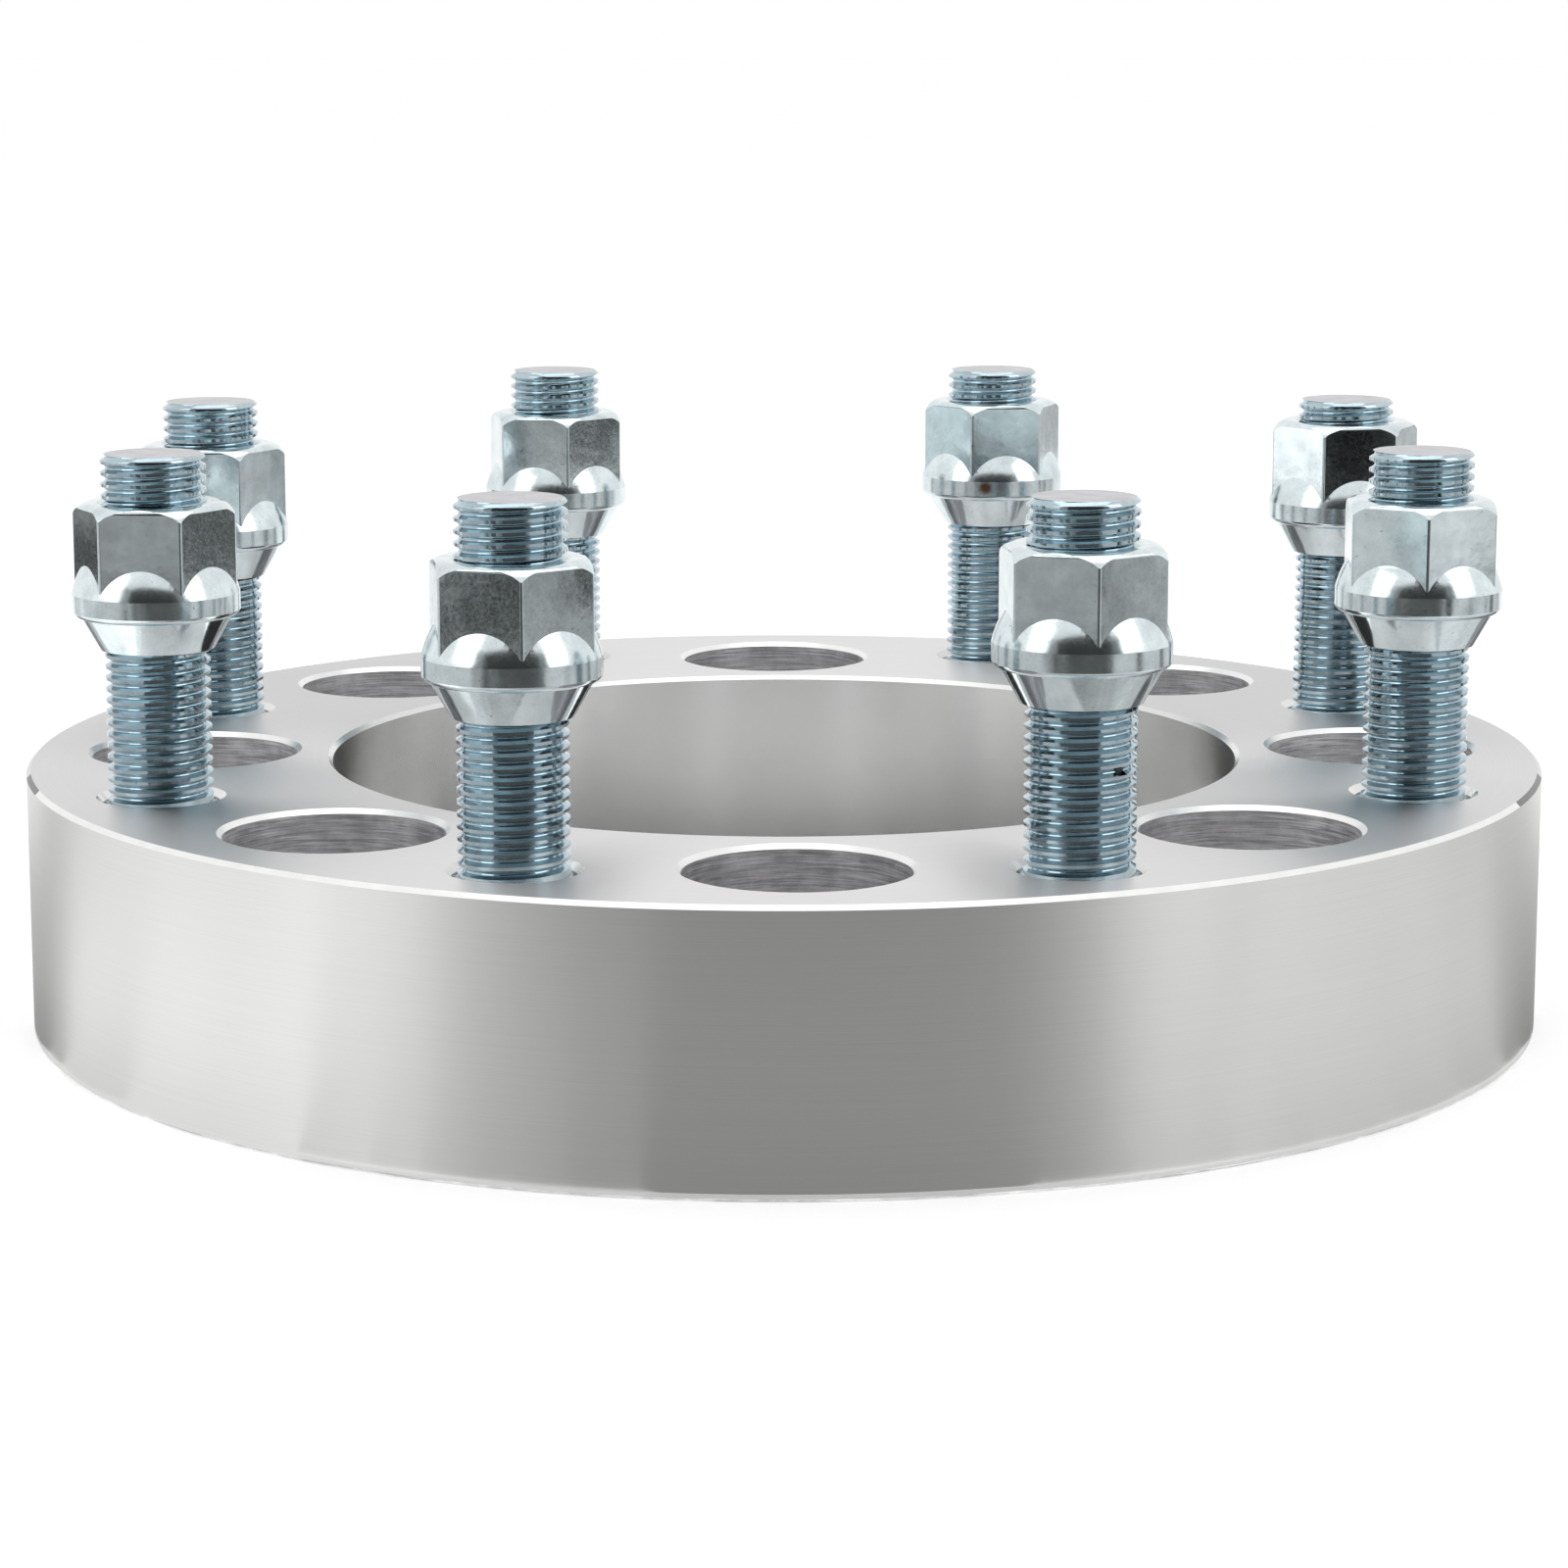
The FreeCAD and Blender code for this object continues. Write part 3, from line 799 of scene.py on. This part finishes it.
class SPACER_OT_roll_studs(bpy.types.Operator):
    """Make one stud with its thread and knurl, and set a copy in each hole"""

    bl_idname = "spacer.roll_studs"
    bl_label = "Roll the studs"

    def execute(self, context):
        size = context.scene.spacer_studs
        finish = context.scene.spacer_finish
        mottle = bpy.data.node_groups.get("plate_mottle") or mottle_group()
        zinc = plated_steel(
            "blue_zinc", finish.stud_zinc, finish.zinc_roughness, mottle, SMOOTH_SWELL,
        )
        stud = stud_blank(size, 4 * size.teeth)
        paint(stud, zinc)
        coil = groove_coil(size, 2 * size.teeth)
        # The groove's faces take a darker zinc, as painted shade in the thread.
        groove_painted_shade = plated_steel(
            "groove_painted_shade_zinc", finish.groove_painted_shade_zinc, finish.zinc_roughness, mottle, SMOOTH_SWELL,
        )
        paint(coil, groove_painted_shade)
        combine(stud, coil, "DIFFERENCE")
        ends = plated_steel("end_zinc", finish.end_zinc, 0.36, mottle, SMOOTH_SWELL)
        end_height = STUD_HIGH.z - MM
        paint_faces(stud, ends, lambda face: face.normal.z > 0.99 and face.center.z > end_height)
        set_copies(stud, STUDS, "rolled", "stud_zinc", math.radians(28), [0.0] * len(STUDS))
        nick_black = plated_steel("nick_near_black", finish.nick_near_black, 0.4, mottle, SMOOTH_SWELL)
        self.nick_thread(size, nick_black)
        return {"FINISHED"}

    def nick_thread(self, size, nick_black):
        """Take a small square nick out of one stud's thread, and paint its faces near-black."""
        node = f"stud_{NICKED_STUD}"
        deselect_all()
        bpy.ops.mesh.primitive_cube_add(
            size=1, rotation=(0, 0, math.radians(NICK_BEARING)),
            location=round_from(
                node, NICK_BEARING, size.crest, RING_HIGH.z - STUD_LOW.z + NICK_HEIGHT,
            ),
        )
        nick = bpy.context.object
        nick.name = "nick_tool"
        nick.scale = NICK_SIZE
        bpy.ops.object.transform_apply()
        paint(nick, nick_black)
        combine(bpy.data.objects[f"rolled_{node}"], nick, "DIFFERENCE")


def round_from(node, bearing, radius, height):
    """A point on a round CAD node, at a bearing from its front and a height above its foot."""
    low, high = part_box(node)
    middle = (low + high) / 2
    turn = math.radians(bearing)
    return Vector((
        middle.x + radius * math.sin(turn), middle.y - radius * math.cos(turn), low.z + height,
    ))


def set_copies(master, nodes, prefix, slot, sharp_angle, turns):
    """Stand a copy of one finished piece in each CAD node's box, with its own mesh."""
    foot = min(corner[2] for corner in master.bound_box)
    for node, turn in zip(nodes, turns):
        low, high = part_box(node)
        copy = master.copy()
        copy.data = master.data.copy()
        copy.name = f"{prefix}_{node}"
        bpy.context.collection.objects.link(copy)
        middle = (low + high) / 2
        copy.location = (middle.x, middle.y, low.z - foot)
        copy.rotation_euler.z = math.radians(turn)
        work_on(copy)
        bpy.ops.object.transform_apply()
        finish_piece(copy, body_of(node), slot, sharp_angle, node)
    bpy.data.objects.remove(master)


def nut_hexagon(size, low):
    """The hexagon, soft at its end and along its corners, from inside the collar upwards."""
    out = 1 / math.cos(math.radians(30))
    foot = (size.flat, size.height - size.edge_round)
    rim = (size.flat - size.edge_round, size.height)
    quarter = size.edge_round * (1 - math.sqrt(0.5))
    outline = [(size.flat, low), foot, *arc(foot, rim, quarter, 8)]
    hexagon = turned_blank("nut", [(radius * out, height) for radius, height in outline], 6)
    hexagon.rotation_euler.z = math.radians(30)
    bpy.ops.object.transform_apply()
    mesh = hexagon.data
    bpy.ops.object.mode_set(mode="EDIT")
    bpy.ops.mesh.select_mode(type="EDGE")
    bpy.ops.mesh.select_all(action="DESELECT")
    bpy.ops.object.mode_set(mode="OBJECT")
    for edge in mesh.edges:
        first, last = (mesh.vertices[number].co for number in edge.vertices)
        edge.select = abs(first.z - last.z) > 1e-6
    bpy.ops.object.mode_set(mode="EDIT")
    bpy.ops.mesh.bevel(offset=size.corner_round * math.tan(math.radians(30)), segments=5)
    bpy.ops.object.mode_set(mode="OBJECT")
    return hexagon


class SPACER_OT_forge_nuts(bpy.types.Operator):
    """Make one lug nut, and thread a copy onto each stud"""

    bl_idname = "spacer.forge_nuts"
    bl_label = "Forge the lug nuts"

    def execute(self, context):
        size = context.scene.spacer_nuts
        finish = context.scene.spacer_finish
        mottle = bpy.data.node_groups.get("plate_mottle") or mottle_group()
        zinc = plated_steel(
            "bright_zinc", finish.nut_zinc, finish.zinc_roughness, mottle, FORGED_SWELL,
        )
        duller = plated_steel(
            "collar_zinc", finish.nut_zinc, finish.collar_roughness, mottle, FORGED_SWELL,
            stain=round_from(f"lug_nut_{STAINED_NUT}", STAIN_BEARING, size.collar, STAIN_HEIGHT),
        )
        top = size.height
        middle = (size.collar_low + size.collar_high) / 2
        nut = nut_hexagon(size, middle)
        corner = size.flat / math.cos(math.radians(30))
        wide = corner + SPARE
        crown_foot = (corner, top - size.crown_drop)
        dome = turned_blank("crown_tool", [
            (wide, middle - SPARE),
            (wide, top - size.crown_drop - SPARE),
            crown_foot,
            *arc(crown_foot, (size.crown, top), size.crown_bulge, 10),
        ], NUT_SIDES)
        combine(nut, dome, "INTERSECT")
        cone = size.seat_tip + size.seat_length * math.tan(math.radians(30))
        seat_top = (cone, size.seat_length)
        collar_foot = (size.collar, size.collar_low)
        collar_head = (size.collar, size.collar_high)
        shoulder_end = (size.flat - size.shoulder_tuck, size.shoulder_top)
        seat = turned_blank("seat_tool", [
            (size.seat_tip, 0),
            seat_top,
            *arc(seat_top, collar_foot, (size.collar_low - size.seat_length) / 4, 7),
            collar_head,
            *arc(collar_head, shoulder_end, size.shoulder_bulge, 8),
        ], NUT_SIDES)
        combine(nut, seat, "UNION")
        bore_radius = context.scene.spacer_studs.crest + size.play
        mouth = size.mouth - bore_radius
        bore = turned_blank("bore_tool", [
            (size.mouth + SPARE, -SPARE),
            (bore_radius, mouth),
            (bore_radius, top - mouth),
            (size.mouth + SPARE, top + SPARE),
        ], NUT_SIDES)
        combine(nut, bore, "DIFFERENCE")
        work_on(nut)
        bpy.ops.object.modifier_add(type="BEVEL")
        bevel = nut.modifiers[-1]
        bevel.width = size.soft_edge
        bevel.segments = 2
        bevel.limit_method = "ANGLE"
        bevel.angle_limit = math.radians(14)
        bpy.ops.object.modifier_apply(modifier=bevel.name)
        paint(nut, zinc)
        near = 0.3 * MM
        paint_faces(
            nut, duller,
            lambda face: size.collar_low - near < face.center.z < size.shoulder_top
            and (face.normal.z > 0.1 or face.center.xy.length > size.collar - near),
        )
        set_copies(nut, NUTS, "parked", "nut_zinc", math.radians(30), NUT_TURNS)
        return {"FINISHED"}


def white_to_view(nodes):
    """1 for the rays that show a backdrop: seen straight, mirrored, or through glass."""
    rays = nodes.add("ShaderNodeLightPath").outputs
    seen = nodes.math("MAXIMUM", rays["Is Camera Ray"], rays["Is Glossy Ray"])
    return nodes.math("MAXIMUM", seen, rays["Is Transmission Ray"])


def floor_material(glow):
    material, nodes, shader = new_material("pale_floor")
    nodes.fill(
        shader, Base_Color=(0.8, 0.8, 0.8, 1), Roughness=0.9, Emission_Color=(1, 1, 1, 1),
        Emission_Strength=nodes.math("MULTIPLY", white_to_view(nodes), glow),
    )
    return material


def lay_card(name, level, spots):
    """A grey card that shows only as a reflection in the metal, through its four corners."""
    deselect_all()
    bpy.ops.mesh.primitive_plane_add(size=1)
    card = bpy.context.object
    card.name = name
    card.data.name = name
    for vertex, spot in zip(card.data.vertices, spots):
        vertex.co = spot
    card.visible_camera = False
    card.visible_diffuse = False
    card.visible_shadow = False
    material, nodes, shader = new_material(name)
    nodes.fill(
        shader, Base_Color=(0, 0, 0, 1), Specular_IOR_Level=0.0,
        Emission_Color=(level, level, level, 1), Emission_Strength=1.0,
    )
    paint(card, material)


def towards(bearing, distance, height=0):
    """A place at a bearing in degrees, counted to the right from the camera's side."""
    angle = math.radians(bearing)
    return Vector((distance * math.sin(angle), -distance * math.cos(angle), height))


def stand_card(name, first, last, level, top):
    """An upright card between two bearings."""
    left, right = towards(first, STANDING_DISTANCE), towards(last, STANDING_DISTANCE)
    up = Vector((0, 0, top))
    lay_card(name, level, (left, right, left + up, right + up))


def spread_card(name, first, last, level, start, end):
    """A card on the floor, seen in the rim between two bearings and two distances."""
    rim = RING_HIGH.x + 0.5 * MM
    lay_card(name, level, [
        towards(bearing, rim, MM) + towards(2 * bearing, distance)
        for distance in (start, end) for bearing in (first, last)
    ])


def add_flat_cards(scene):
    """Lay a narrow card where each flat of a nut mirrors the floor to the camera."""
    stage, size = scene.spacer_stage, scene.spacer_nuts
    eye = Vector((stage.camera_side, -stage.camera_back, stage.camera_up))
    for number, levels in FLAT_GLINTS.items():
        low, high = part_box(f"lug_nut_{number}")
        middle = (low + high) / 2
        middle.z = low.z + FLAT_AIM
        spots = []
        for turn in range(30, 390, 60):
            bearing = math.radians(NUT_TURNS[number - 1] + turn)
            out = Vector((math.cos(bearing), math.sin(bearing), 0))
            flat = middle + size.flat * out
            ray = (flat - eye).normalized()
            if ray.dot(out) < -FLAT_SEEN:
                ray = ray.reflect(out)
                spots.append((math.atan2(ray.x, -ray.y), flat, ray))
        spots.sort(key=itemgetter(0))
        for order, (level, (_, flat, ray)) in enumerate(zip(levels, spots)):
            along = Vector((ray.x, ray.y, 0)).normalized()
            across = Vector((-along.y, along.x, 0))
            spot = flat + ray * (flat.z / -ray.z)
            # Each nut's cards lie a little lower than the last nut's, so that none coincide.
            spot.z = (4 - 0.2 * number) * MM
            corners = [
                spot + along * reach + across * side
                for reach in FLAT_CARD_REACH for side in (-FLAT_CARD_HALF, FLAT_CARD_HALF)
            ]
            if level == 0:
                # The blackest flat has its card standing close by, clear of its neighbour's.
                close = flat + ray * CLOSE_CARD
                corners = [
                    close + across * side + Vector((0, 0, rise))
                    for rise in (-CLOSE_HALF_HEIGHT, CLOSE_HALF_HEIGHT)
                    for side in (-CLOSE_HALF_WIDTH, CLOSE_HALF_WIDTH)
                ]
            lay_card(f"nut_{number}_card_{order}", level, corners)


def add_lamp(name, place, size, power):
    """A soft box aimed at the middle of the ring."""
    light = bpy.data.lights.new(name, "AREA")
    light.shape = "RECTANGLE"
    light.size, light.size_y = size
    light.energy = power
    lamp = bpy.data.objects.new(name, light)
    bpy.context.collection.objects.link(lamp)
    lamp.location = place
    aim = Vector((0, 0, RING_HIGH.z)) - Vector(place)
    lamp.rotation_euler = aim.to_track_quat("-Z", "Y").to_euler()


class SPACER_OT_set_stage(bpy.types.Operator):
    """Lay the floor, set the lamps and the camera"""

    bl_idname = "spacer.set_stage"
    bl_label = "Set the stage"

    def execute(self, context):
        scene = context.scene
        size = scene.spacer_stage
        if size.show_floor:
            deselect_all()
            bpy.ops.mesh.primitive_plane_add(size=FLOOR_SIZE, location=(0, 0, -FLOOR_DROP))
            floor = context.object
            floor.name = "floor"
            paint(floor, floor_material(FLOOR_GLOW))
        for card in STANDING_CARDS:
            stand_card(*card)
        for (first, level), (last, _) in zip(FLOOR_BANDS, FLOOR_BANDS[1:]):
            for name, part, start, end in BAND_CARDS:
                spread_card(f"{name}_{first}", first, last, level * part, start, end)
        for name, first, last, level in FAR_BANDS:
            lay_card(name, level, [
                towards(bearing, distance, 0.5 * MM)
                for distance in (FAR_START, FAR_END) for bearing in (first, last)
            ])
        add_flat_cards(scene)
        for name, level, ends in BORE_CARDS:
            lay_card(name, level, [
                (side * half, depth, MM) for half, depth in ends for side in (-1, 1)
            ])
        for lamp in LAMPS:
            add_lamp(*lamp)
        world = bpy.data.worlds.new("studio")
        world.use_nodes = True
        nodes = Nodes(world.node_tree)
        background = world.node_tree.nodes["Background"]
        level = ranged(nodes, white_to_view(nodes), 0.7, 1.0)
        nodes.fill(background, Color=(1, 1, 1, 1), Strength=level)
        scene.world = world
        scene.view_settings.view_transform = "Standard"
        camera_data = bpy.data.cameras.new("camera")
        camera_data.lens = size.camera_lens
        camera_data.sensor_width = 36
        camera = bpy.data.objects.new("camera", camera_data)
        context.collection.objects.link(camera)
        camera.location = (size.camera_side, -size.camera_back, size.camera_up)
        camera.rotation_euler = (math.radians(90) - size.camera_pitch, 0, size.camera_yaw)
        scene.camera = camera
        return {"FINISHED"}


class SPACER_PT_panel(bpy.types.Panel):
    bl_label = "Wheel spacer"
    bl_idname = "SPACER_PT_panel"
    bl_space_type = "VIEW_3D"
    bl_region_type = "UI"
    bl_category = "Wheel spacer"

    def draw(self, context):
        for label, group, operator in STEPS:
            box = self.layout.box()
            box.label(text=label)
            settings = getattr(context.scene, group)
            for name in settings.__annotations__:
                box.prop(settings, name)
            if operator is not None:
                box.operator(operator.bl_idname)


STEPS = (
    ("Finishes", "spacer_finish", None),
    ("Ring", "spacer_ring", SPACER_OT_turn_ring),
    ("Studs", "spacer_studs", SPACER_OT_roll_studs),
    ("Lug nuts", "spacer_nuts", SPACER_OT_forge_nuts),
    ("Stage", "spacer_stage", SPACER_OT_set_stage),
)
GROUPS = {
    "spacer_finish": Finishes,
    "spacer_ring": RingSizes,
    "spacer_studs": StudSizes,
    "spacer_nuts": NutSizes,
    "spacer_stage": StageSizes,
}
OPERATORS = tuple(step[2] for step in STEPS if step[2] is not None)


def register():
    for item in (*GROUPS.values(), *OPERATORS, SPACER_PT_panel):
        bpy.utils.register_class(item)
    for name, group in GROUPS.items():
        setattr(bpy.types.Scene, name, PointerProperty(type=group))


def unregister():
    for name in GROUPS:
        delattr(bpy.types.Scene, name)
    for item in reversed((*GROUPS.values(), *OPERATORS, SPACER_PT_panel)):
        bpy.utils.unregister_class(item)


def main():
    register()
    bpy.ops.spacer.turn_ring()
    bpy.ops.spacer.roll_studs()
    bpy.ops.spacer.forge_nuts()
    bpy.ops.spacer.set_stage()


if __name__ == "__main__":
    main()
